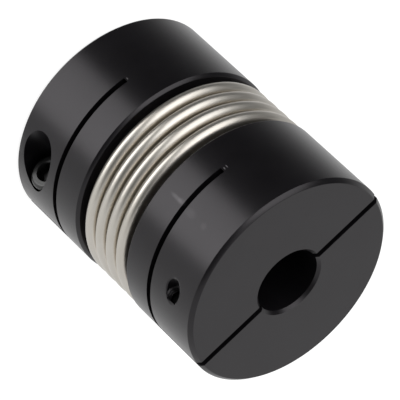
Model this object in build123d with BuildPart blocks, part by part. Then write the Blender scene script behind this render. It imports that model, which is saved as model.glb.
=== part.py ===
from build123d import *

import os

# A bellows coupling that joins two shafts end to end. It stands on the outer face of its lower hub, with the
# shaft axis along +Z and the origin on that axis. Both clamp screws lie along X, on the +Y side. The upper hub
# is the lower hub turned half a turn about the Y direction through the middle of the coupling.
# All sizes are in millimetres.

# ---- hubs ----
hub_diameter = 33.3
hub_length = 15.0
rim_chamfer = 0.55
inner_rim_chamfer = 0.42  # at the inner face, beside the bellows
bore_diameter = 10.0
bore_chamfer = 0.3
face_slit_width = 1.0
cross_slit_width = 0.85
cross_slit_height = 9.5  # middle of the cross slit, from the hub's outer face
cross_slit_overrun = 3.15  # how far the cross slit is sawn past the axis, away from the screw

# ---- clamp screws (M3 socket-head cap screws) ----
screw_inset = 4.05  # from the hub's round surface in to the screw's axis
screw_height = 4.6  # from the hub's outer face to the screw's axis
screw_seat = 4.05  # from the middle of the face slit to the face that the head bears on
thread_diameter = 3.0
screw_length = 12.0
head_diameter = 5.5
head_height = 3.0
head_chamfer = 0.45
socket_width = 2.5  # across the flats of the hexagon
socket_depth = 1.6
tip_chamfer = 0.35
head_well_diameter = 6.0
pass_hole_diameter = 3.4
thread_clearance = 0.02  # between the screw's thread and the tapped hole, radially

# ---- bellows ----
convolutions = 4
convolution_pitch = 2.42
crest_relief = 0.15  # how far the crests lie under the hubs' round surface
crest_width = 1.94  # over the outside of one rounded crest
neck_diameter = 22.4  # outside of the plain neck and of the roots between the crests
bellows_wall = 0.2
end_gap = 1.05  # from a hub's inner face to the nearest crest

# ---- adhesive joints between the bellows and the hubs ----
neck_engagement = 3.0  # how far a neck goes into its hub
bond_thickness = 0.3
bond_clearance = 0.02  # between the neck and the ring of adhesive, radially
bond_setback = 0.25  # from the hub's inner face down to the adhesive

# ---- worked out from the sizes above ----
bellows_run = (convolutions - 1) * convolution_pitch + crest_width
hub_gap = bellows_run + 2 * end_gap
coupling_length = 2 * hub_length + hub_gap
middle_height = coupling_length / 2
hub_radius = hub_diameter / 2
crest_radius = hub_radius - crest_relief
neck_radius = neck_diameter / 2
bond_inner_radius = neck_radius + bond_clearance
bond_outer_radius = bond_inner_radius + bond_thickness
recess_floor = hub_length - neck_engagement
cross_slit_top = cross_slit_height + cross_slit_width / 2
past_hub = hub_radius + 1  # reaches clear of the hub from the axis

screw_point = (hub_radius - screw_inset, screw_height)
upper_hub_place = Location((0, 0, coupling_length), (0, 180, 0))


# ---- lower hub ----
with BuildPart() as lower_hub:
    # turned blank with its bore
    with BuildSketch(Plane.XY):
        Circle(hub_radius)
        Circle(bore_diameter / 2, mode=Mode.SUBTRACT)
    extrude(amount=hub_length)
    round_edges = lower_hub.edges().filter_by(GeomType.CIRCLE)
    rims = round_edges.group_by(SortBy.RADIUS)[-1].sort_by(Axis.Z)
    chamfer(rims[0], rim_chamfer)
    chamfer(rims[-1], inner_rim_chamfer)
    chamfer(round_edges.group_by(SortBy.RADIUS)[0].sort_by(Axis.Z)[0], bore_chamfer)

    # recess in the inner face for the neck of the bellows
    with BuildSketch(Plane.XY.offset(hub_length)):
        Circle(bond_outer_radius)
    extrude(amount=-neck_engagement, mode=Mode.SUBTRACT)

    # face slit, sawn across the whole diameter from the outer face
    with BuildSketch(Plane.XY):
        Rectangle(face_slit_width, 2 * past_hub)
    extrude(amount=cross_slit_top, mode=Mode.SUBTRACT)

    # cross slit, sawn in from the screw's side, which frees the two jaws
    with BuildSketch(Plane.XY.offset(cross_slit_height)):
        with Locations((0, -cross_slit_overrun)):
            Rectangle(2 * past_hub, past_hub + cross_slit_overrun, align=(Align.CENTER, Align.MIN))
    extrude(amount=cross_slit_width / 2, both=True, mode=Mode.SUBTRACT)

    # well for the screw's head, pass hole in the same jaw, and tapped hole in the other jaw
    with BuildSketch(Plane.YZ.offset(screw_seat)):
        with Locations(screw_point):
            Circle(head_well_diameter / 2)
    extrude(amount=past_hub, mode=Mode.SUBTRACT)
    with BuildSketch(Plane.YZ):
        with Locations(screw_point):
            Circle(pass_hole_diameter / 2)
    extrude(amount=screw_seat, mode=Mode.SUBTRACT)
    with BuildSketch(Plane.YZ):
        with Locations(screw_point):
            Circle(thread_diameter / 2 + thread_clearance)
    extrude(amount=-past_hub, mode=Mode.SUBTRACT)


# ---- upper hub ----
with BuildPart() as upper_hub:
    with Locations(upper_hub_place):
        add(lower_hub.part)


# ---- lower clamp screw ----
with BuildPart() as lower_clamp_screw:
    with BuildSketch(Plane.YZ.offset(screw_seat)):
        with Locations(screw_point):
            Circle(head_diameter / 2)
    extrude(amount=head_height)
    chamfer(lower_clamp_screw.edges().sort_by(Axis.X)[-1], head_chamfer)

    with BuildSketch(Plane.YZ.offset(screw_seat)):
        with Locations(screw_point):
            Circle(thread_diameter / 2)
    extrude(amount=-screw_length)
    chamfer(lower_clamp_screw.edges().sort_by(Axis.X)[0], tip_chamfer)

    # hexagon socket
    with BuildSketch(Plane.YZ.offset(screw_seat + head_height)):
        with Locations(screw_point):
            RegularPolygon(socket_width / 2, 6, major_radius=False)
    extrude(amount=-socket_depth, mode=Mode.SUBTRACT)


# ---- upper clamp screw ----
with BuildPart() as upper_clamp_screw:
    with Locations(upper_hub_place):
        add(lower_clamp_screw.part)


# ---- bellows ----
# Its section is one thin wall: a neck, then rounded crests and roots joined by straight flanks, then a neck.
# The line drawn is the outside of the wall. It turns outwards over each crest and inwards round each root.
crest_fold = crest_width / 2
root_fold = (convolution_pitch - crest_width) / 2
crest_centre = crest_radius - crest_fold
root_centre = neck_radius + root_fold
first_crest = middle_height - (convolutions - 1) / 2 * convolution_pitch
first_root = first_crest - convolution_pitch / 2
last_root = first_root + convolutions * convolution_pitch

with BuildPart() as bellows:
    with BuildSketch(Plane.XZ):
        with BuildLine():
            Line((neck_radius, recess_floor), (neck_radius, first_root))
            CenterArc((root_centre, first_root), root_fold, 180, -90)
            for count in range(convolutions):
                height = first_crest + count * convolution_pitch
                flank_below = height - crest_fold
                flank_above = height + crest_fold
                Line((root_centre, flank_below), (crest_centre, flank_below))
                CenterArc((crest_centre, height), crest_fold, -90, 180)
                Line((crest_centre, flank_above), (root_centre, flank_above))
                if count < convolutions - 1:
                    CenterArc((root_centre, height + convolution_pitch / 2), root_fold, -90, -180)
            CenterArc((root_centre, last_root), root_fold, -90, -90)
            Line((neck_radius, last_root), (neck_radius, coupling_length - recess_floor))
            offset(amount=bellows_wall, side=Side.LEFT)
        make_face()
    revolve(axis=Axis.Z)


# ---- adhesive rings ----
with BuildPart() as lower_bond_ring:
    with BuildSketch(Plane.XY.offset(recess_floor)):
        Circle(bond_outer_radius)
        Circle(bond_inner_radius, mode=Mode.SUBTRACT)
    extrude(amount=neck_engagement - bond_setback)

with BuildPart() as upper_bond_ring:
    with Locations(upper_hub_place):
        add(lower_bond_ring.part)


# ---- labels and files ----
pieces = {
    "lower_hub": lower_hub,
    "upper_hub": upper_hub,
    "bellows": bellows,
    "lower_clamp_screw": lower_clamp_screw,
    "upper_clamp_screw": upper_clamp_screw,
    "lower_bond_ring": lower_bond_ring,
    "upper_bond_ring": upper_bond_ring,
}

os.makedirs("parts", exist_ok=True)
for label, piece in pieces.items():
    piece.part.label = label
    export_step(piece.part, f"parts/{label}.step")
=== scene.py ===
"""Dressed model of a bellows coupling: two clamp hubs, their screws, the bellows and its adhesive joints.

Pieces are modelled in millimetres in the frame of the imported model, then settled in metres.
"""

import logging
import math
from abc import ABC, abstractmethod
from collections.abc import Callable, Sequence
from dataclasses import dataclass
from enum import Enum
from functools import partial
from typing import ClassVar

import bmesh
import bpy
from mathutils import Matrix, Vector


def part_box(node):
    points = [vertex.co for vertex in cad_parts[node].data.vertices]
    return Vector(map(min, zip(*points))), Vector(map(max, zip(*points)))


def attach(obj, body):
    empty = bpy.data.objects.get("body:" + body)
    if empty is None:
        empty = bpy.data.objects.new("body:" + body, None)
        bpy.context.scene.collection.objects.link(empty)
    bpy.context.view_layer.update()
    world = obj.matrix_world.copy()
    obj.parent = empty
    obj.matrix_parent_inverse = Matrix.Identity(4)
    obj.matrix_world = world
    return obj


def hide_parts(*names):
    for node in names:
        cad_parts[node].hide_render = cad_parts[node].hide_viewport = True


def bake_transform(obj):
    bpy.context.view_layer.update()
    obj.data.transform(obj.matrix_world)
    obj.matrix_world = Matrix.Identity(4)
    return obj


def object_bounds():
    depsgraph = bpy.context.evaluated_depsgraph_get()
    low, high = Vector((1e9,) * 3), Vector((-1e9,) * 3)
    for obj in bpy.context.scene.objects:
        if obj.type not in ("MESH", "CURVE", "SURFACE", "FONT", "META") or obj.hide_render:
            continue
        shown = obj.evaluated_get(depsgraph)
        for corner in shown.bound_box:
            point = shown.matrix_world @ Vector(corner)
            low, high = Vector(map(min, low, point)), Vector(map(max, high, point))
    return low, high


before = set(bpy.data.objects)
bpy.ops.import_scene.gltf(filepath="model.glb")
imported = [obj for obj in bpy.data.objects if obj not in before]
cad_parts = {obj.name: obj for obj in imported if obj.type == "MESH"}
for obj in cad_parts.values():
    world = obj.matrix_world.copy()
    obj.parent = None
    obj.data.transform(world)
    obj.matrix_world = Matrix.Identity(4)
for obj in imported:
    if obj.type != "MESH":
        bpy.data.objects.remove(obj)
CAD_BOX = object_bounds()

log = logging.getLogger("bellows_coupling")

Pair = tuple[float, float]
Socket = bpy.types.NodeSocket
NodeInputs = dict[int | str, object]
NodeAdder = Callable[..., bpy.types.Node]

MM = 0.001
FULL_TURN = 2 * math.pi
RIGHT_ANGLE = 90.0  # in degrees
OVERCUT = 1.0  # how far a cutting tool reaches past the surface that it cuts, in mm
OVERLAP = 0.05  # how far forms that are joined or cut together run past each other, in mm
SAME_PLACE = 1e-4  # two points nearer than this along an axis are level, in mm
FACING = 0.9  # a face whose normal reaches further than this along an axis faces that way
SQUARE = 1e-3  # a face whose normal reaches less far than this along an axis is square to it
FINE_MERGE = 0.0001  # how near two points of a thin wall are to be one, in mm
FACE_WEIGHT = 80  # how much a large face counts in the shading of its corners, out of 100
NOISE_LOW = 0.3  # most of a noise's values lie above this
NOISE_HIGH = 0.7  # and below this


# ---- shared helpers


class Body(Enum):
    """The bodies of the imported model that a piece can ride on."""

    LOWER = "lower_end"
    UPPER = "upper_end"


class Slot(Enum):
    """The record's material slots."""

    ALUMINIUM = "anodised_aluminium"
    STAINLESS = "stainless_steel"
    BLACK_OXIDE = "black_oxide_steel"
    ADHESIVE = "adhesive"


class Element(Enum):
    """The parts of a mesh that can be picked."""

    FACE = "faces"
    EDGE = "edges"


class Along(Enum):
    """The direction that a bar's axis takes, as the turn from +Z."""

    Z = (0.0, 0.0, 0.0)
    X = (0.0, math.pi / 2, 0.0)


def linear(hex_colour: str) -> tuple[float, float, float, float]:
    """Turns an sRGB hex colour into the linear colour that a shader reads.

    Args:
        hex_colour: Six hex digits, with or without a leading hash.

    Returns:
        Linear red, green, blue and an alpha of 1.
    """
    digits = hex_colour.lstrip("#")
    channels = []
    for start in (0, 2, 4):
        value = int(digits[start : start + 2], 16) / 255
        channels.append(value / 12.92 if value <= 0.04045 else ((value + 0.055) / 1.055) ** 2.4)
    return (*channels, 1.0)


def pattern_scale(size: float) -> float:
    """The texture scale that gives features of that size in mm."""
    return 1 / (size * MM)


def direction(azimuth: float, elevation: float) -> Vector:
    """Works out a direction from its angles.

    Args:
        azimuth: From +X towards +Y, in degrees.
        elevation: Above the floor's plane, in degrees.

    Returns:
        The unit vector.
    """
    around, above = math.radians(azimuth), math.radians(elevation)
    return Vector((math.cos(above) * math.cos(around), math.cos(above) * math.sin(around), math.sin(above)))


def edge_run(edge: bmesh.types.BMEdge, axis: int) -> float:
    """How far an edge runs along an axis, where 0 is X and 2 is Z."""
    return abs(edge.verts[0].co[axis] - edge.verts[1].co[axis])


def arc_points(centre: Pair, size: float, start: float, turn: float, steps: int) -> list[Pair]:
    """Divides an arc into points.

    Args:
        centre: Its centre.
        size: Its radius.
        start: The angle at which it starts, in degrees.
        turn: The angle that it turns through, in degrees.
        steps: How many parts it has.

    Returns:
        The points, with both of its ends.
    """
    points = []
    for step in range(steps + 1):
        angle = math.radians(start + turn * step / steps)
        points.append((centre[0] + size * math.cos(angle), centre[1] + size * math.sin(angle)))
    return points


def add_node(
    tree: bpy.types.NodeTree, kind: str, inputs: NodeInputs | None = None, **settings: object
) -> bpy.types.Node:
    """Adds a node with its settings and links.

    Args:
        tree: The node tree that gets the node.
        kind: The node's type name, without the ShaderNode that it starts with.
        inputs: For each input, a socket to link from or a constant to set.
        **settings: Properties of the node itself.

    Returns:
        The new node.
    """
    made = tree.nodes.new(f"ShaderNode{kind}")
    for name, value in settings.items():
        setattr(made, name, value)
    for key, value in (inputs or {}).items():
        if isinstance(value, Socket):
            tree.links.new(value, made.inputs[key])
        else:
            made.inputs[key].default_value = value
    return made


def emptied(owner: bpy.types.Material | bpy.types.World) -> NodeAdder:
    """Gives a material or a world an empty node tree.

    Args:
        owner: The material or world.

    Returns:
        What adds a node to its tree: add_node without its first argument.
    """
    owner.use_nodes = True
    owner.node_tree.nodes.clear()
    return partial(add_node, owner.node_tree)


class Shape:
    """A mesh that is being modelled, in millimetres."""

    def __init__(self, name: str) -> None:
        """Takes over the object that was just added, with its place put into its mesh.

        Args:
            name: The name for its object and mesh.
        """
        self.obj = bpy.context.active_object
        self.obj.name = name
        self.obj.data.name = name
        bpy.ops.object.transform_apply(location=True, rotation=True, scale=True)

    @classmethod
    def bar(
        cls, name: str, radius: float, low: float, high: float, segments: int,
        along: Along = Along.Z, centre: Pair = (0.0, 0.0), high_radius: float | None = None,
    ) -> "Shape":
        """Adds a round bar, straight or tapered.

        Args:
            name: Its name.
            radius: Its radius, which a tapered bar has at low.
            low: Where it starts along its axis.
            high: Where it ends along its axis.
            segments: How many sides it has.
            along: Its axis.
            centre: The axis's place, as (x, y) along Z or (y, z) along X.
            high_radius: A tapered bar's radius at high.

        Returns:
            The new shape.
        """
        middle = (low + high) / 2
        place = (*centre, middle) if along is Along.Z else (middle, *centre)
        common = {"vertices": segments, "depth": high - low, "location": place, "rotation": along.value}
        bpy.ops.object.select_all(action="DESELECT")
        if high_radius is None:
            bpy.ops.mesh.primitive_cylinder_add(radius=radius, **common)
        else:
            bpy.ops.mesh.primitive_cone_add(radius1=radius, radius2=high_radius, **common)
        return cls(name)

    @classmethod
    def block(cls, name: str, low: Sequence[float], high: Sequence[float]) -> "Shape":
        """Adds a box.

        Args:
            name: Its name.
            low: Its lowest corner.
            high: Its highest corner.

        Returns:
            The new shape.
        """
        bpy.ops.object.select_all(action="DESELECT")
        bpy.ops.mesh.primitive_cube_add(
            size=1.0,
            location=[(a + b) / 2 for a, b in zip(low, high)],
            scale=[b - a for a, b in zip(low, high)],
        )
        return cls(name)

    @classmethod
    def ring_wall(cls, name: str, section: Sequence[Pair], segments: int) -> "Shape":
        """Raises a wall round the Z axis, ring by ring.

        Args:
            name: Its name.
            section: The wall's line, as (radius, height) points.
            segments: How many sides each ring has.

        Returns:
            The new shape, open at both ends.
        """
        bpy.ops.object.select_all(action="DESELECT")
        radius, height = section[0]
        bpy.ops.mesh.primitive_circle_add(
            vertices=segments, radius=radius, fill_type="NOTHING", location=(0, 0, height)
        )
        shape = cls(name)
        bpy.ops.object.mode_set(mode="EDIT")
        bpy.ops.mesh.select_mode(type="EDGE")
        bpy.ops.mesh.select_all(action="SELECT")
        for next_radius, next_height in section[1:]:
            grow = next_radius / radius
            shape.extrude((0, 0, next_height - height), (grow, grow, 1), (0, 0, next_height))
            radius, height = next_radius, next_height
        shape.done()
        return shape

    def make_active(self) -> None:
        """Makes this the only selected object, and the active one."""
        bpy.ops.object.select_all(action="DESELECT")
        self.obj.select_set(True)
        bpy.context.view_layer.objects.active = self.obj

    def edit(self) -> None:
        """Goes into edit mode with nothing selected."""
        self.make_active()
        bpy.ops.object.mode_set(mode="EDIT")
        bpy.ops.mesh.select_all(action="DESELECT")

    def done(self) -> None:
        """Leaves edit mode."""
        bpy.ops.object.mode_set(mode="OBJECT")

    def pick(self, element: Element, test: Callable[..., bool]) -> None:
        """Selects the faces or edges that pass a test, in edit mode.

        Args:
            element: Which of the two are picked.
            test: Says whether one of them is wanted.
        """
        bpy.ops.mesh.select_mode(type=element.name)
        bpy.ops.mesh.select_all(action="DESELECT")
        mesh = bmesh.from_edit_mesh(self.obj.data)
        for part in filter(test, getattr(mesh, element.value)):
            part.select_set(True)
        if element is Element.FACE:
            mesh.select_flush(True)
        bmesh.update_edit_mesh(self.obj.data)

    def extrude(self, move: Sequence[float], grow: Sequence[float], centre: Sequence[float]) -> None:
        """Extrudes what is selected in edit mode, and resizes its far end.

        Args:
            move: How far the far end moves.
            grow: How many times larger it gets, along each axis.
            centre: The point that it grows about.
        """
        bpy.ops.mesh.extrude_region_move(TRANSFORM_OT_translate={"value": move})
        bpy.ops.transform.resize(value=grow, center_override=centre)

    def apply(self, kind: str, **settings: object) -> None:
        """Adds a modifier and applies it.

        Args:
            kind: The modifier's type name.
            **settings: Its settings.
        """
        self.make_active()
        modifier = self.obj.modifiers.new(kind.lower(), kind)
        for name, value in settings.items():
            setattr(modifier, name, value)
        bpy.ops.object.modifier_apply(modifier=modifier.name)

    def combine(self, operation: str, *others: "Shape") -> None:
        """Cuts closed shapes away or joins them on, one by one, and removes them.

        Args:
            operation: DIFFERENCE or UNION.
            *others: The closed shapes.
        """
        for other in others:
            self.apply("BOOLEAN", object=other.obj, operation=operation, solver="EXACT")
            bpy.data.meshes.remove(other.obj.data)

    def tidy(self, merge: float = 0.0005, flat_angle: float = 0.0) -> None:
        """Merges doubles, dissolves edges inside flat faces and turns the faces outwards.

        Args:
            merge: How near two points are to be one.
            flat_angle: The angle in degrees under which an edge is dissolved. With 0, none is.
        """
        self.edit()
        bpy.ops.mesh.select_all(action="SELECT")
        bpy.ops.mesh.remove_doubles(threshold=merge)
        if flat_angle:
            bpy.ops.mesh.dissolve_limited(angle_limit=math.radians(flat_angle))
        bpy.ops.mesh.normals_make_consistent(inside=False)
        self.done()

    def copy_turned(self, name: str, height: float) -> "Shape":
        """Makes a copy, turned half a turn about Y for the coupling's other end.

        Args:
            name: The copy's name.
            height: The coupling's length.

        Returns:
            The copy, with its own mesh.
        """
        self.make_active()
        bpy.ops.object.duplicate(linked=False)
        other = bpy.context.active_object
        other.rotation_euler = (0, math.pi, 0)
        other.location = (0, 0, height)
        return Shape(name)

    def settle(self, smooth_under: float) -> bpy.types.Object:
        """Brings the shape to metres, with its place in its mesh, and smooths its round faces.

        Args:
            smooth_under: The angle in degrees under which two faces blend.

        Returns:
            The finished object.
        """
        self.make_active()
        self.obj.scale = (MM, MM, MM)
        bpy.ops.object.transform_apply(location=True, rotation=True, scale=True)
        bpy.ops.object.shade_smooth_by_angle(angle=math.radians(smooth_under))
        self.apply("WEIGHTED_NORMAL", keep_sharp=True, weight=FACE_WEIGHT)
        return self.obj


def finish(obj: bpy.types.Object, material: bpy.types.Material, node: str) -> None:
    """Gives a piece its finish, and lets it stand for a CAD node.

    Args:
        obj: The piece.
        material: Its finish.
        node: The CAD node.
    """
    obj.data.materials.clear()
    obj.data.materials.append(material)
    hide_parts(node)
    log.info("%s: %d faces, stands for %s", obj.name, len(obj.data.polygons), node)


# ---- finishes


@dataclass(frozen=True)
class Finish(ABC):
    """How one of the coupling's materials looks."""

    colour: str
    paler: str
    roughness: float
    roughness_spread: float  # how far the relief's noise moves the roughness, either way
    relief_depth: float
    relief_strength: float

    def build(self, name: str) -> bpy.types.Material:
        """Makes the material.

        Args:
            name: The material's name.

        Returns:
            The material.
        """
        material = bpy.data.materials.new(name)
        add = emptied(material)
        shader = add("BsdfPrincipled", self.surface(add, add("TexCoord").outputs["Object"]))
        add("OutputMaterial", {"Surface": shader.outputs[0]})
        return material

    @abstractmethod
    def surface(self, add: NodeAdder, position: Socket) -> NodeInputs:
        """Works out the shader's inputs.

        Args:
            add: Adds a node to the material.
            position: The point on the piece.

        Returns:
            A link or a constant for each input that is set.
        """

    def skin(self, add: NodeAdder, tone: Socket, relief: Socket, coarser: Socket | None = None) -> NodeInputs:
        """Gives a skin its two tones, its gloss and its relief.

        Args:
            add: Adds a node to the material.
            tone: From 0 for the colour to 1 for the paler one.
            relief: The noise that raises the skin and moves its roughness.
            coarser: The normal of a coarser relief under this one.

        Returns:
            The shader's colour, roughness and normal.
        """
        tones = {"Factor": tone, "A": linear(self.colour), "B": linear(self.paler)}
        skin = {
            "Base Color": add("Mix", tones, data_type="RGBA").outputs["Result"],
            "Roughness": self.roughness,
        }
        if self.roughness_spread:
            gloss = {
                "Value": relief,
                "From Min": NOISE_LOW,
                "From Max": NOISE_HIGH,
                "To Min": self.roughness - self.roughness_spread,
                "To Max": self.roughness + self.roughness_spread,
            }
            skin["Roughness"] = add("MapRange", gloss).outputs[0]
        raised = {"Height": relief, "Strength": self.relief_strength, "Distance": self.relief_depth * MM}
        if coarser:
            raised["Normal"] = coarser
        return {**skin, "Normal": add("Bump", raised).outputs[0]}


@dataclass(frozen=True)
class HandlingMark:
    """A rub or scratch that handling left on a hub's round side."""

    azimuth: float  # from +X towards +Y, in degrees
    height: float
    half_length: float
    half_width: float
    slant: float  # from the coupling's axis towards +azimuth, in degrees
    strength: float
    core: ClassVar[float] = 0.2  # the share of a mark's reach over which it has its full strength

    def mask(self, add: NodeAdder, position: Socket, radius: float) -> Socket:
        """Works out where the mark lies.

        Args:
            add: Adds a node to the material.
            position: The point on the piece.
            radius: The hub's radius in mm.

        Returns:
            A socket that gives the mark's strength in its middle and 0 outside it.
        """
        slant = math.radians(self.slant)
        outward = direction(self.azimuth, 0)
        sideways = direction(self.azimuth + RIGHT_ANGLE, 0)
        upward = Vector((0, 0, 1))
        along = upward * math.cos(slant) + sideways * math.sin(slant)
        across = outward.cross(along)
        centre = outward * radius + upward * self.height
        place = {
            "Vector": position,
            "Location": centre * MM,
            "Rotation": Matrix((along, across, outward)).transposed().to_euler(),
            "Scale": Vector((self.half_length, self.half_width, 1.0)) * MM,
        }
        local = add("Mapping", place, vector_type="TEXTURE").outputs[0]
        fade = {
            "Value": add("VectorMath", {0: local}, operation="LENGTH").outputs["Value"],
            "From Min": self.core,
            "From Max": 1.0,
            "To Min": self.strength,
            "To Max": 0.0,
        }
        return add("MapRange", fade, interpolation_type="SMOOTHSTEP").outputs[0]


@dataclass(frozen=True)
class BlackAnodisedAluminium(Finish):
    """Turned aluminium bar, finely etched, then anodised in sulphuric acid and dyed black.

    To the eye it is a deep neutral black with a soft satin sheen. The lathe's feed shows as faint rings, and
    handling has left a few pale rubs, scratches and specks of dust.
    """

    colour: str = "#0B0A0C"
    paler: str = "#100F11"
    clouds: float = 6.0  # how far apart the dye's paler patches lie
    clouds_low: float = 0.35  # the noise value under which the dye is at its darkest
    clouds_high: float = 0.65  # the noise value above which it is at its palest
    sheen: str = "#FFFAFF"  # the sealed oxide film's slight violet cast
    film_ior: float = 1.38  # the film is porous, so it bends light less than solid oxide does
    roughness: float = 0.3
    roughness_spread: float = 0.03
    grain: float = 0.05  # the etched skin's grain
    relief_depth: float = 0.01
    relief_strength: float = 0.08
    feed: float = 0.16  # the lathe's feed per turn, drawn coarser than the real 0.08 mm so that it shows
    feed_depth: float = 0.02
    feed_strength: float = 0.05
    rubbed: str = "#615F61"  # where handling has rubbed the dyed skin, and dust
    dust: float = 1.7  # the mean distance between places that may hold a speck of dust
    dust_above: float = 0.6  # a place holds a speck where its random value is above this
    speck_core: float = 0.02  # a speck's solid middle, as a share of the distance between places
    speck_edge: float = 0.05  # where a speck ends, as such a share
    speck_strength: float = 0.35
    radius: float = 16.65  # of the hubs' round side, on which the marks lie
    marks: tuple[HandlingMark, ...] = (
        HandlingMark(13.0, 29.9, 1.7, 0.42, 1.0, 0.4),
        HandlingMark(12.9, 30.9, 0.95, 0.6, -4.0, 0.3),
        HandlingMark(13.9, 33.3, 1.4, 0.9, 0.0, 0.14),
        HandlingMark(14.2, 36.3, 0.8, 0.7, 0.0, 0.12),
        HandlingMark(-12.1, 31.8, 0.34, 0.1, 3.0, 1.0),
        HandlingMark(-13.6, 31.75, 0.42, 0.09, 0.0, 0.9),
        HandlingMark(-11.9, 9.5, 0.34, 0.09, 5.0, 0.9),
    )

    def surface(self, add: NodeAdder, position: Socket) -> NodeInputs:
        """Works out the dyed skin with its rings, grain and wear.

        Args:
            add: Adds a node to the material.
            position: The point on the piece.

        Returns:
            What the shader's inputs get.
        """
        axes = add("SeparateXYZ", {0: position}).outputs
        flat = add("CombineXYZ", {"X": axes["X"], "Y": axes["Y"]}).outputs[0]
        radius = add("VectorMath", {0: flat}, operation="LENGTH").outputs["Value"]
        # the feed line runs along z on the round side and along the radius on the faces
        feed_line = add("Math", {0: axes["Z"], 1: radius}, operation="ADD").outputs[0]
        feed_place = add("CombineXYZ", {"Z": feed_line}).outputs[0]
        rings = add(
            "TexNoise",
            {"Vector": feed_place, "Scale": pattern_scale(self.feed), "Detail": 2.0, "Roughness": 0.6},
        )
        raised = {"Height": rings.outputs["Fac"], "Strength": self.feed_strength}
        ring_bump = add("Bump", {**raised, "Distance": self.feed_depth * MM})
        grain = add(
            "TexNoise",
            {"Vector": position, "Scale": pattern_scale(self.grain), "Detail": 2.0, "Roughness": 0.5},
        )
        cloud = add("TexNoise", {"Vector": position, "Scale": pattern_scale(self.clouds), "Detail": 3.0})
        tone = add(
            "MapRange",
            {"Value": cloud.outputs["Fac"], "From Min": self.clouds_low, "From Max": self.clouds_high},
        )
        skin = self.skin(add, tone.outputs[0], grain.outputs["Fac"], ring_bump.outputs[0])

        cells = add("TexVoronoi", {"Vector": position, "Scale": pattern_scale(self.dust)}).outputs
        # only some of the cells hold a speck
        chosen = add("Math", {0: cells["Color"], 1: self.dust_above}, operation="GREATER_THAN").outputs[0]
        speck = {
            "Value": cells["Distance"],
            "From Min": self.speck_core,
            "From Max": self.speck_edge,
            "To Min": self.speck_strength,
            "To Max": 0.0,
        }
        wear = add("Math", {0: chosen, 1: add("MapRange", speck).outputs[0]}, operation="MULTIPLY").outputs[0]
        for mark in self.marks:
            mask = mark.mask(add, position, self.radius)
            wear = add("Math", {0: wear, 1: mask}, operation="ADD").outputs[0]
        worn = {"Factor": wear, "A": skin["Base Color"], "B": linear(self.rubbed)}
        return {
            **skin,
            "Base Color": add("Mix", worn, data_type="RGBA").outputs["Result"],
            "IOR": self.film_ior,
            "Specular Tint": linear(self.sheen),
        }


@dataclass(frozen=True)
class StainlessSteel(Finish):
    """Thin stainless tube, hydroformed into folds and lightly brushed round by round.

    To the eye it is a bright, slightly warm grey with soft highlights and fine lines that follow the folds.
    The folds' flanks and valleys carry painted light: a paler colour that stands in for the light bouncing
    between the folds.
    """

    colour: str = "#BEBBB5"
    paler: str = "#B6B1A8"  # here the warmer of the two tones
    clouds: float = 3.0  # how far apart the warmer patches lie
    painted_flank_light: str = "#E0D9CD"  # painted light: the paler colour of the folds' flanks and valleys, for the light that bounces between the folds
    painted_light_ends: float = 16.15  # the radius outside which the crests get no painted light
    painted_light_full: float = 15.6  # the radius inside which the painted light is at its full
    roughness: float = 0.38
    roughness_spread: float = 0.05
    line_spacing: float = 0.14  # between brush lines, drawn coarser than the real 0.03 mm so that they show
    line_patches: float = 1.4  # how many patches of lines there are in a radian round the axis
    line_slope: float = 0.83  # how much the radius counts beside the height in a line's place
    relief_depth: float = 0.02
    relief_strength: float = 0.12

    def surface(self, add: NodeAdder, position: Socket) -> NodeInputs:
        """Works out the brushed skin, with painted light on the folds' flanks and valleys.

        Args:
            add: Adds a node to the material.
            position: The point on the piece.

        Returns:
            What the shader's inputs get.
        """
        axes = add("SeparateXYZ", {0: position}).outputs
        flat = add("CombineXYZ", {"X": axes["X"], "Y": axes["Y"]}).outputs[0]
        radius = add("VectorMath", {0: flat}, operation="LENGTH").outputs["Value"]
        # the direction round the axis varies slowly, so that noise read there is drawn out into long lines
        round_way = add("VectorMath", {0: flat}, operation="NORMALIZE").outputs[0]
        slow = add("VectorMath", {0: round_way, "Scale": self.line_patches}, operation="SCALE").outputs[0]
        sloped = {0: radius, 1: self.line_slope, 2: axes["Z"]}
        across = add("Math", sloped, operation="MULTIPLY_ADD").outputs[0]
        fine = add("Math", {0: across, 1: pattern_scale(self.line_spacing)}, operation="MULTIPLY").outputs[0]
        fine_line = add("CombineXYZ", {"Z": fine}).outputs[0]
        line_place = add("VectorMath", {0: slow, 1: fine_line}, operation="ADD").outputs[0]
        lines = add("TexNoise", {"Vector": line_place, "Scale": 1.0, "Detail": 3.0, "Roughness": 0.65})
        cloud = add("TexNoise", {"Vector": position, "Scale": pattern_scale(self.clouds), "Detail": 2.0})
        skin = self.skin(add, cloud.outputs["Fac"], lines.outputs["Fac"])
        # painted light: towards the roots the colour turns paler, for the light that bounces between the
        # folds
        painted_light_fade = add(
            "MapRange",
            {"Value": radius, "From Min": self.painted_light_full * MM, "From Max": self.painted_light_ends * MM},
        )
        both = {"Factor": painted_light_fade.outputs[0], "A": linear(self.painted_flank_light), "B": skin["Base Color"]}
        colour = add("Mix", both, data_type="RGBA").outputs["Result"]
        return {**skin, "Base Color": colour, "Metallic": 1.0}


@dataclass(frozen=True)
class BlackOxideSteel(Finish):
    """Alloy steel cap screw, blackened in hot oxide and oiled.

    To the eye it is a dark grey with a dull metallic shine, paler than the anodised hub round it.
    """

    colour: str = "#3E3E40"
    paler: str = "#4A4A48"
    roughness: float = 0.38
    roughness_spread: float = 0.06
    grain: float = 0.12  # the cold-headed skin's grain
    relief_depth: float = 0.02
    relief_strength: float = 0.15

    def surface(self, add: NodeAdder, position: Socket) -> NodeInputs:
        """Works out the blackened skin with its grain.

        Args:
            add: Adds a node to the material.
            position: The point on the piece.

        Returns:
            What the shader's inputs get.
        """
        grain = add(
            "TexNoise",
            {"Vector": position, "Scale": pattern_scale(self.grain), "Detail": 3.0, "Roughness": 0.6},
        ).outputs["Fac"]
        return {**self.skin(add, grain, grain), "Metallic": 1.0}


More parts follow.
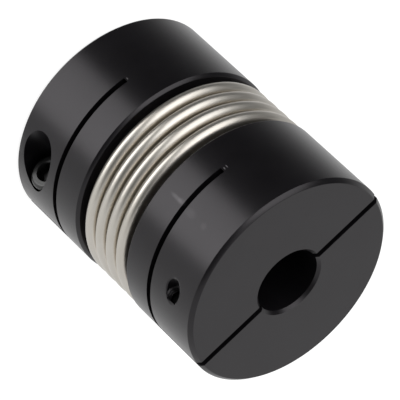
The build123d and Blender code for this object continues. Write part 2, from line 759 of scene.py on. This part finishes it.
@dataclass(frozen=True)
class CuredEpoxy(Finish):
    """Structural epoxy, cured in the gap between the neck and the hub.

    To the eye it is a dark grey-brown bead with a wet, uneven shine.
    """

    colour: str = "#24211D"
    paler: str = "#322E28"
    roughness: float = 0.3
    roughness_spread: float = 0.0
    ior: float = 1.55
    ripple: float = 0.8  # how far apart the bead's ripples lie
    relief_depth: float = 0.05
    relief_strength: float = 0.4

    def surface(self, add: NodeAdder, position: Socket) -> NodeInputs:
        """Works out the rippled bead.

        Args:
            add: Adds a node to the material.
            position: The point on the piece.

        Returns:
            What the shader's inputs get.
        """
        ripple = add(
            "TexNoise", {"Vector": position, "Scale": pattern_scale(self.ripple), "Detail": 2.0}
        ).outputs["Fac"]
        return {**self.skin(add, ripple, ripple), "IOR": self.ior}


# ---- the coupling's pieces


class EndPiece:
    """A piece that both ends of the coupling have, at the upper end turned half a turn."""

    node: ClassVar[str]  # what the CAD nodes are called after lower_ and upper_
    slot: ClassVar[Slot]
    smooth_under: ClassVar[float]  # the angle in degrees under which two faces blend

    def dress(self, lower: Shape, material: bpy.types.Material, length: float) -> None:
        """Copies the lower piece to the upper end, and gives both their finish and their body.

        Args:
            lower: The modelled lower piece.
            material: Their finish.
            length: The coupling's length.
        """
        upper = lower.copy_turned(lower.obj.name.replace("lower", "upper"), length)
        for shape, end, body in ((lower, "lower", Body.LOWER), (upper, "upper", Body.UPPER)):
            obj = shape.settle(self.smooth_under)
            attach(obj, body.value)
            finish(obj, material, f"{end}_{self.node}")


@dataclass(frozen=True)
class ScrewThread:
    """A metric thread, M3 by 0.5."""

    major_radius: float = 1.5
    minor_radius: float = 1.22
    pitch: float = 0.5
    start: float = 0.0  # by how much of a turn the helix is set on
    flat: float = 0.15  # the share of the rise that is cut off at the root, and as much at the crest
    rings_per_turn: int = 8
    segments: int = 40

    def rod(self, name: str, low: float, high: float, centre: Pair, run_out: float = 0.0) -> Shape:
        """Makes a threaded rod along X.

        Args:
            name: Its name.
            low: Where it starts along X.
            high: Where it ends along X.
            centre: Its axis, as (y, z).
            run_out: The length at each end over which the thread tapers to its root.

        Returns:
            The closed rod.
        """
        rod = Shape.bar(name, self.major_radius, low, high, self.segments, Along.X, centre)
        rings = max(2, round((high - low) / self.pitch * self.rings_per_turn))
        rod.edit()
        rod.pick(Element.EDGE, lambda edge: edge_run(edge, 0) > (high - low) / 2)
        bpy.ops.mesh.subdivide(number_cuts=rings - 1)
        mesh = bmesh.from_edit_mesh(rod.obj.data)
        for vertex in mesh.verts:
            across, up = vertex.co.y - centre[0], vertex.co.z - centre[1]
            turned = math.atan2(up, across) / FULL_TURN + self.start
            share = (vertex.co.x / self.pitch - turned) % 1
            wave = 1 - abs(2 * share - 1)
            height = min(1.0, max(0.0, (wave - self.flat) / (1 - 2 * self.flat)))
            if run_out:
                from_end = min(vertex.co.x - low, high - vertex.co.x)
                height *= min(1.0, max(0.0, from_end / run_out))
            radius = self.minor_radius + height * (self.major_radius - self.minor_radius)
            scale = radius / math.hypot(across, up)
            vertex.co.y = centre[0] + across * scale
            vertex.co.z = centre[1] + up * scale
        bmesh.update_edit_mesh(rod.obj.data)
        rod.done()
        return rod


@dataclass(frozen=True)
class Countersink:
    """A tapered round hollow, sunk along X from some level."""

    inner_radius: float
    outer_radius: float
    depth: float  # below the level
    rise: float  # how far its tool stands above the level
    segments: ClassVar[int] = 48

    def tool(self, name: str, level: float, centre: Pair) -> Shape:
        """Makes the tapered bar that cuts it.

        Args:
            name: The tool's name.
            level: The level along X from which it is sunk.
            centre: Its axis, as (y, z).

        Returns:
            The closed tool.
        """
        low, high = level - self.depth, level + self.rise
        return Shape.bar(
            name, self.inner_radius, low, high, self.segments, Along.X, centre, self.outer_radius
        )


@dataclass
class ClampScrew(EndPiece):
    """A socket-head cap screw that draws a hub's two jaws together."""

    node: ClassVar[str] = "clamp_screw"
    slot: ClassVar[Slot] = Slot.BLACK_OXIDE
    smooth_under: ClassVar[float] = 35.0
    hexagon_sides: ClassVar[int] = 6

    inset: float = 4.05  # from the hub's round side to the screw's axis
    height: float = 4.6
    seat: float = 4.05
    length: float = 12.0
    head_diameter: float = 5.5
    head_height: float = 3.0
    head_segments: int = 96
    # the head's rounded edge, as (radius, depth below its top)
    crown: tuple[Pair, ...] = ((2.7, 0.42), (2.62, 0.27), (2.5, 0.13), (2.36, 0.04), (2.2, 0.0))
    side_end: float = 0.7  # where the head's straight side ends, below its top
    knurl_margin: float = 0.03  # the width of the land beside each groove of the knurl
    knurl_depth: float = 0.06
    socket_width: float = 2.5
    socket_depth: float = 1.6
    lead_in: Countersink = Countersink(1.26, 1.65, 0.9, OVERLAP)
    mouth: Countersink = Countersink(1.54, 1.78, 0.16, 0.08)
    drill_point: Countersink = Countersink(0.02, 1.2, 0.35, OVERLAP)
    thread: ScrewThread = ScrewThread()
    run_out: float = 0.35  # the length over which the thread tapers off at both ends

    def axis(self, hub_radius: float) -> Pair:
        """The screw's axis as (y, z), for a hub of that radius."""
        return (hub_radius - self.inset, self.height)

    def build(self, hub_radius: float) -> Shape:
        """Models the lower hub's screw.

        Args:
            hub_radius: The hub's radius, from which its axis is set in.

        Returns:
            The screw.
        """
        centre = self.axis(hub_radius)
        top = self.seat + self.head_height
        radius, reach = self.head_diameter / 2, top - self.side_end
        head = Shape.bar("lower_cap_screw", radius, self.seat, reach, self.head_segments, Along.X, centre)
        head.edit()
        head.pick(Element.FACE, lambda face: face.normal.x > FACING)
        for next_radius, depth in self.crown:
            shrink = next_radius / radius
            head.extrude((top - depth - reach, 0, 0), (1, shrink, shrink), (0, *centre))
            radius, reach = next_radius, top - depth
        # straight knurl on the head's side
        head.pick(Element.FACE, lambda face: abs(face.normal.x) < SQUARE)
        bpy.ops.mesh.inset(thickness=self.knurl_margin, depth=-self.knurl_depth, use_individual=True)
        head.done()

        corner_radius = self.socket_width / math.sqrt(3)
        floor = top - self.socket_depth
        head.combine(
            "DIFFERENCE",
            Shape.bar("socket", corner_radius, floor, top + OVERCUT, self.hexagon_sides, Along.X, centre),
            self.lead_in.tool("lead_in", top, centre),
            self.mouth.tool("mouth", top, centre),
            self.drill_point.tool("drill_point", floor, centre),
        )
        tip, neck = self.seat - self.length, self.seat + OVERLAP
        head.combine("UNION", self.thread.rod("shank", tip, neck, centre, self.run_out))
        head.tidy()
        return head


@dataclass
class ClampHub(EndPiece):
    """A turned hub, bored for a shaft and slit so that one screw clamps it."""

    node: ClassVar[str] = "hub"
    slot: ClassVar[Slot] = Slot.ALUMINIUM
    smooth_under: ClassVar[float] = 30.0

    diameter: float = 33.3
    length: float = 15.0
    rim_chamfer: float = 0.55
    inner_rim_chamfer: float = 0.42
    broken_edge: float = 0.05
    bore_diameter: float = 10.0
    bore_chamfer: float = 0.42
    face_slit: float = 1.0
    cross_slit: float = 0.85
    cross_slit_height: float = 9.5
    cross_slit_overrun: float = 3.15  # how far the cross slit runs past the axis
    recess_radius: float = 11.52
    recess_depth: float = 3.0
    well_diameter: float = 6.0
    pass_diameter: float = 3.4
    thread_clearance: float = 0.02
    clear_of_tip: float = 0.25  # how far the clearance round the screw's thread reaches past its tip
    tap: ScrewThread = ScrewThread(major_radius=1.48, minor_radius=1.12, start=0.8)
    tap_from_tip: float = 0.1  # how far past the screw's tip the open thread starts
    thread_start: float = 9.8  # how far out from the hub's middle plane the open thread reaches
    relief_radius: float = 1.28  # of the plain hole outside the thread
    relief_depth: float = 0.03  # the least that the plain hole goes under its broken edge
    lead_in: float = 0.18  # how far that hole's edge is broken where it meets the round side
    flare_rise: float = 0.3  # how far outside the round side the tool for that edge ends
    segments: int = 256
    recess_segments: int = 192
    bore_segments: int = 128
    well_segments: int = 96
    pass_segments: int = 64

    def build(self, screw: ClampScrew) -> Shape:
        """Models the lower hub.

        Args:
            screw: The screw whose holes are drilled.

        Returns:
            The hub.
        """
        radius = self.diameter / 2
        beyond, past_hub = radius + OVERCUT, self.length + OVERCUT
        recess_floor = self.length - self.recess_depth
        half_face_slit = self.face_slit / 2
        slit_floor = self.cross_slit_height - self.cross_slit / 2
        slit_top = self.cross_slit_height + self.cross_slit / 2
        hub = Shape.bar("turned_lower_hub", radius, 0, self.length, self.segments)
        hub.edit()
        hub.pick(Element.EDGE, lambda edge: all(vertex.co.z < SAME_PLACE for vertex in edge.verts))
        bpy.ops.mesh.bevel(offset=self.rim_chamfer, segments=1, affect="EDGES")
        near_inner_face = self.length - SAME_PLACE
        hub.pick(Element.EDGE, lambda edge: all(vertex.co.z > near_inner_face for vertex in edge.verts))
        bpy.ops.mesh.bevel(offset=self.inner_rim_chamfer, segments=1, affect="EDGES")
        # the four edges of the two chamfers are broken with a file
        hub.pick(Element.EDGE, lambda edge: edge_run(edge, 2) < SAME_PLACE)
        bpy.ops.mesh.bevel(offset=self.broken_edge, segments=2, affect="EDGES")
        hub.done()
        hub.combine(
            "DIFFERENCE",
            self.bore_tool(),
            Shape.bar("recess", self.recess_radius, recess_floor, past_hub, self.recess_segments),
            Shape.block(
                "face_slit",
                (-half_face_slit, -beyond, -OVERCUT),
                (half_face_slit, beyond, self.cross_slit_height),
            ),
            Shape.block(
                "cross_slit", (-beyond, -self.cross_slit_overrun, slit_floor), (beyond, beyond, slit_top)
            ),
            # past the cross slit's end, the face slit is as deep as the cross slit's far side
            Shape.block(
                "slit_end",
                (-half_face_slit, -beyond, self.cross_slit_height - OVERCUT),
                (half_face_slit, 0, slit_top),
            ),
            *self.screw_tools(screw, radius),
        )
        hub.tidy(flat_angle=0.2)
        return hub

    def bore_tool(self) -> Shape:
        """Makes the reamer that cuts the bore and its chamfered mouth.

        Returns:
            The closed tool.
        """
        radius = self.bore_diameter / 2
        tool = Shape.bar("reamer", radius, self.bore_chamfer, self.length + OVERCUT, self.bore_segments)
        tool.edit()
        tool.pick(Element.FACE, lambda face: face.normal.z < -FACING)
        wider = (radius + self.bore_chamfer) / radius
        tool.extrude((0, 0, -self.bore_chamfer), (wider, wider, 1), (0, 0, 0))
        bpy.ops.mesh.extrude_region_move(TRANSFORM_OT_translate={"value": (0, 0, -OVERCUT)})
        tool.done()
        return tool

    def screw_tools(self, screw: ClampScrew, radius: float) -> list[Shape]:
        """Makes the tools for the head's well, the pass hole and the tapped hole.

        Args:
            screw: The screw that goes in.
            radius: The hub's radius.

        Returns:
            The tools.
        """
        centre = screw.axis(radius)
        tip = screw.seat - screw.length
        clear_radius = screw.thread.major_radius + self.thread_clearance
        holes = (
            ("well", self.well_diameter / 2, screw.seat, radius, self.well_segments),
            ("pass_hole", self.pass_diameter / 2, 0, screw.seat + OVERCUT, self.pass_segments),
            ("tapped_hole", clear_radius, tip - self.clear_of_tip, 0, screw.thread.segments),
        )
        return [
            *(Shape.bar(*hole, Along.X, centre) for hole in holes),
            self.relief_tool(centre),
            self.tap.rod("tap", -self.thread_start - OVERLAP, tip - self.tap_from_tip, centre),
        ]

    def relief_tool(self, centre: Pair) -> Shape:
        """Makes the tool that cuts the plain hole outside the thread, its edge broken.

        Args:
            centre: The screw's axis, as (y, z).

        Returns:
            The closed tool, whose flare follows the hub's round side.
        """
        low, high = -3.0, 0.0  # for a start: each ring is then moved to its own place
        tool = Shape.bar("relief", self.relief_radius, low, high, self.well_segments, Along.X, centre)
        tool.edit()
        tool.pick(Element.EDGE, lambda edge: edge_run(edge, 0) > (high - low) / 2)
        bpy.ops.mesh.subdivide(number_cuts=1)
        mesh = bmesh.from_edit_mesh(tool.obj.data)
        for vertex in mesh.verts:
            across, up = vertex.co.y - centre[0], vertex.co.z - centre[1]
            ring = round(2 * (vertex.co.x - low) / (high - low))
            # ring 0 stands clear of the round side, and ring 1 lies just under it
            wider = self.lead_in + self.flare_rise if ring == 0 else 0.0
            rise = self.flare_rise if ring == 0 else -self.lead_in
            scale = (self.relief_radius + wider) / math.hypot(across, up)
            y, z = centre[0] + across * scale, centre[1] + up * scale
            reach = math.sqrt((self.diameter / 2) ** 2 - y * y) + rise
            if ring == 2:
                reach = min(self.thread_start, reach - self.relief_depth)
            vertex.co = (-reach, y, z)
        bmesh.update_edit_mesh(tool.obj.data)
        tool.done()
        return tool


@dataclass
class AdhesiveJoint(EndPiece):
    """The ring of adhesive that holds a neck in its hub."""

    node: ClassVar[str] = "bond_ring"
    slot: ClassVar[Slot] = Slot.ADHESIVE
    smooth_under: ClassVar[float] = 60.0

    inner_radius: float = 11.22
    outer_radius: float = 11.515
    floor: float = 12.0
    top: float = 14.75
    creep: float = 0.12  # how far the bead climbs the two walls over its middle
    bead_steps: int = 6
    segments: int = 192

    def build(self) -> Shape:
        """Models the lower ring, with the hollow that surface tension leaves in its top.

        Returns:
            The ring.
        """
        width = self.outer_radius - self.inner_radius
        section = [(self.inner_radius, self.floor), (self.outer_radius, self.floor)]
        for step in range(self.bead_steps + 1):
            share = step / self.bead_steps
            hollow = self.creep * math.sin(math.pi * share)
            section.append((self.outer_radius - width * share, self.top - hollow))
        section.append(section[0])
        ring = Shape.ring_wall("lower_adhesive_joint", section, self.segments)
        ring.tidy(merge=FINE_MERGE)
        return ring


@dataclass
class Bellows:
    """A thin steel tube formed into rounded folds between two plain necks."""

    convolutions: int = 4
    pitch: float = 2.42
    crest_radius: float = 16.5
    crest_width: float = 1.94
    neck_radius: float = 11.2
    wall: float = 0.2
    neck_floor: float = 12.0
    segments: int = 192
    arc_steps: int = 12
    smooth_under: float = 50.0  # the angle in degrees under which two faces blend

    def section(self, length: float) -> list[Pair]:
        """Works out the outside of the wall.

        Args:
            length: The coupling's length.

        Returns:
            The line's (radius, height) points, from the lower neck up.
        """
        crest = self.crest_width / 2
        root = (self.pitch - self.crest_width) / 2
        crest_centre, root_centre = self.crest_radius - crest, self.neck_radius + root
        first = length / 2 - (self.convolutions - 1) / 2 * self.pitch
        last_root = first + (self.convolutions - 0.5) * self.pitch
        quarter = self.arc_steps // 3
        points = [(self.neck_radius, self.neck_floor)]
        points += arc_points((root_centre, first - self.pitch / 2), root, 180, -90, quarter)
        for count in range(self.convolutions):
            height = first + count * self.pitch
            points += arc_points((crest_centre, height), crest, -90, 180, self.arc_steps)
            if count < self.convolutions - 1:
                points += arc_points((root_centre, height + self.pitch / 2), root, -90, -180, 2 * quarter)
        points += arc_points((root_centre, last_root), root, -90, -90, quarter)
        points.append((self.neck_radius, length - self.neck_floor))
        return points

    def build(self, length: float) -> Shape:
        """Models the bellows.

        Args:
            length: The coupling's length.

        Returns:
            The bellows, with its wall.
        """
        tube = Shape.ring_wall("formed_bellows", self.section(length), self.segments)
        tube.tidy(merge=FINE_MERGE)
        tube.apply("SOLIDIFY", thickness=self.wall, offset=-1.0, use_even_offset=True)
        return tube

    def dress(self, tube: Shape, material: bpy.types.Material, hub_length: float, length: float) -> None:
        """Gives the bellows its finish.

        Args:
            tube: The modelled bellows.
            material: Its finish.
            hub_length: Where the lower hub ends, and how far from the top the upper one starts. Not used.
            length: The coupling's length. Not used.
        """
        obj = tube.settle(self.smooth_under)
        finish(obj, material, "bellows")
        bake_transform(obj)


# ---- studio


@dataclass(frozen=True)
class StudioCamera:
    """The camera, placed from the middle of the coupling."""

    lens: float = 340.94  # its focal length
    sensor: float = 36.0
    nearest: float = 0.01  # where its view starts, in metres
    farthest: float = 20.0  # where its view ends, in metres
    distance: float = 524.55
    azimuth: float = 5.8  # from +X towards +Y, in degrees
    elevation: float = 35.836
    roll: float = 133.335
    aim_right: float = 0.203  # how far to the right of the middle it looks, before the roll
    aim_up: float = 0.313  # how far above the middle it looks, before the roll

    def build(self, middle: float) -> None:
        """Makes the camera and sets it as the scene's.

        Args:
            middle: The height of the coupling's middle in mm.
        """
        back = direction(self.azimuth, self.elevation)
        right = direction(self.azimuth + RIGHT_ANGLE, 0)
        up = back.cross(right)
        centre = Vector((0, 0, middle))
        eye = centre + back * self.distance
        away = (eye - (centre + right * self.aim_right + up * self.aim_up)).normalized()
        right = (right - away * right.dot(away)).normalized()
        up = away.cross(right)
        roll = math.radians(self.roll)
        across = right * math.cos(roll) + up * math.sin(roll)
        upward = up * math.cos(roll) - right * math.sin(roll)
        camera_data = bpy.data.cameras.new("studio_camera")
        camera_data.lens = self.lens
        camera_data.sensor_width = self.sensor
        camera_data.clip_start = self.nearest
        camera_data.clip_end = self.farthest
        camera = bpy.data.objects.new("studio_camera", camera_data)
        bpy.context.scene.collection.objects.link(camera)
        turn = Matrix((across, upward, away)).transposed().to_4x4()
        camera.matrix_world = Matrix.Translation(eye * MM) @ turn
        bpy.context.scene.camera = camera


@dataclass(frozen=True)
class Softbox:
    """A soft area lamp that faces the coupling."""

    name: str
    azimuth: float  # from +X towards +Y, in degrees
    elevation: float
    distance: float  # in metres, as its width and height are
    width: float
    height: float
    radiance: float  # of its face, where 1 is white

    def build(self, target: Vector) -> None:
        """Makes the lamp.

        Args:
            target: What it faces, in metres.
        """
        towards = direction(self.azimuth, self.elevation)
        lamp_data = bpy.data.lights.new(self.name, "AREA")
        lamp_data.shape = "RECTANGLE"
        lamp_data.size = self.width
        lamp_data.size_y = self.height
        lamp_data.energy = self.radiance * math.pi * self.width * self.height
        lamp = bpy.data.objects.new(self.name, lamp_data)
        bpy.context.scene.collection.objects.link(lamp)
        lamp.location = target + towards * self.distance
        lamp.rotation_mode = "QUATERNION"
        lamp.rotation_quaternion = towards.to_track_quat("Z", "Y")
        lamp.visible_camera = False


@dataclass(frozen=True)
class DimZone:
    """A direction from which the studio sends less light."""

    azimuth: float  # from +X towards +Y, in degrees
    elevation: float
    inner: float  # the angle in degrees inside which it is darkest
    outer: float  # the angle outside which it has no effect
    kept: float  # the share of light that is left


@dataclass(frozen=True)
class Studio:
    """The pale floor, the soft lamps and the air round the coupling."""

    floor_colour: str = "#F4F4F4"
    floor_answer: float = 0.25  # how much light the floor gives back, except in the coupling's shadow
    floor_size: float = 4.0  # in metres
    floor_gap: float = 0.05  # by which it lies under the coupling
    air_level: float = 0.9  # how strongly the air lights matt surfaces, where 1 is white
    key: Softbox = Softbox("key_softbox", -45.0, 26.0, 0.6, 0.62, 0.8, 2.5)
    fill: Softbox = Softbox("fill_softbox", 18.5, -33.0, 0.6, 0.56, 0.36, 3.0)
    zones: tuple[DimZone, ...] = (
        DimZone(-56.0, -10.0, 21.0, 80.0, 0.0),
        DimZone(33.0, 34.0, 24.0, 36.0, 0.05),
        DimZone(-94.0, 36.0, 22.0, 35.0, 0.05),
        DimZone(23.0, -73.0, 22.0, 33.0, 0.0),
    )

    def build(self, middle: float) -> None:
        """Builds the studio.

        Args:
            middle: The height of the coupling's middle in mm.
        """
        target = Vector((0, 0, middle * MM))
        self.build_floor()
        self.build_air()
        self.key.build(target)
        self.fill.build(target)
        bpy.context.scene.view_settings.view_transform = "Standard"

    def build_floor(self) -> None:
        """Lays the floor, which only the camera sees and which keeps the coupling's shadow."""
        bpy.ops.object.select_all(action="DESELECT")
        bpy.ops.mesh.primitive_plane_add(size=self.floor_size, location=(0, 0, -self.floor_gap * MM))
        floor = bpy.context.active_object
        floor.name = "studio_floor"
        bpy.ops.object.transform_apply(location=True, rotation=True, scale=True)
        material = bpy.data.materials.new("pale_studio_floor")
        add = emptied(material)
        answer = (self.floor_answer, self.floor_answer, self.floor_answer, 1.0)
        paper = add("BsdfDiffuse", {"Color": answer})
        glow = add("Emission", {"Color": linear(self.floor_colour), "Strength": 1.0})
        both = add("AddShader", {0: paper.outputs[0], 1: glow.outputs[0]})
        add("OutputMaterial", {"Surface": both.outputs[0]})
        floor.data.materials.append(material)
        for ray in ("diffuse", "glossy", "transmission", "volume_scatter", "shadow"):
            setattr(floor, f"visible_{ray}", False)

    def build_air(self) -> None:
        """Makes the world: white to the camera, and as a light dimmer towards each dim zone."""
        world = bpy.data.worlds.new("studio_air")
        bpy.context.scene.world = world
        add = emptied(world)
        towards = add("TexCoord").outputs["Generated"]
        seen = add("LightPath").outputs
        shiny = add("Math", {0: seen["Is Glossy Ray"], 1: seen["Is Transmission Ray"]}, operation="ADD")
        white = {"Factor": shiny.outputs[0], "A": self.air_level, "B": 1.0}
        level = add("Mix", white, data_type="FLOAT").outputs["Result"]
        for zone in self.zones:
            middle = direction(zone.azimuth, zone.elevation)
            nearness = add("VectorMath", {0: towards, 1: middle}, operation="DOT_PRODUCT").outputs["Value"]
            fade = {
                "Value": nearness,
                "From Min": math.cos(math.radians(zone.outer)),
                "From Max": math.cos(math.radians(zone.inner)),
                "To Min": 1.0,
                "To Max": zone.kept,
            }
            share = add("MapRange", fade, interpolation_type="SMOOTHSTEP").outputs[0]
            level = add("Math", {0: level, 1: share}, operation="MULTIPLY").outputs[0]
        lit = {"Factor": seen["Is Camera Ray"], "A": level, "B": 1.0}
        strength = add("Mix", lit, data_type="FLOAT").outputs["Result"]
        background = add("Background", {"Color": (1, 1, 1, 1), "Strength": strength})
        add("OutputWorld", {"Surface": background.outputs[0]})


# ---- assembly


def main() -> None:
    """Builds the coupling, piece by piece, and the studio round it."""
    logging.basicConfig(level=logging.INFO, format="%(name)s: %(message)s")
    length = CAD_BOX[1].z / MM
    hub_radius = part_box("lower_hub")[1].x / MM
    hub_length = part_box("lower_hub")[1].z / MM

    StudioCamera().build(length / 2)
    Studio().build(length / 2)

    hub = ClampHub(diameter=2 * hub_radius, length=hub_length)
    screw = ClampScrew()
    adhesive = AdhesiveJoint()
    bellows = Bellows()
    end_pieces = (
        (hub, hub.build(screw), BlackAnodisedAluminium().build("black_anodised_aluminium")),
        (screw, screw.build(hub_radius), BlackOxideSteel().build("black_oxide_steel")),
        (adhesive, adhesive.build(), CuredEpoxy().build("cured_epoxy")),
    )
    for piece, lower, material in end_pieces:
        piece.dress(lower, material, length)
    stainless = StainlessSteel().build("formed_stainless_steel")
    bellows.dress(bellows.build(length), stainless, hub_length, length)


if __name__ == "__main__":
    main()
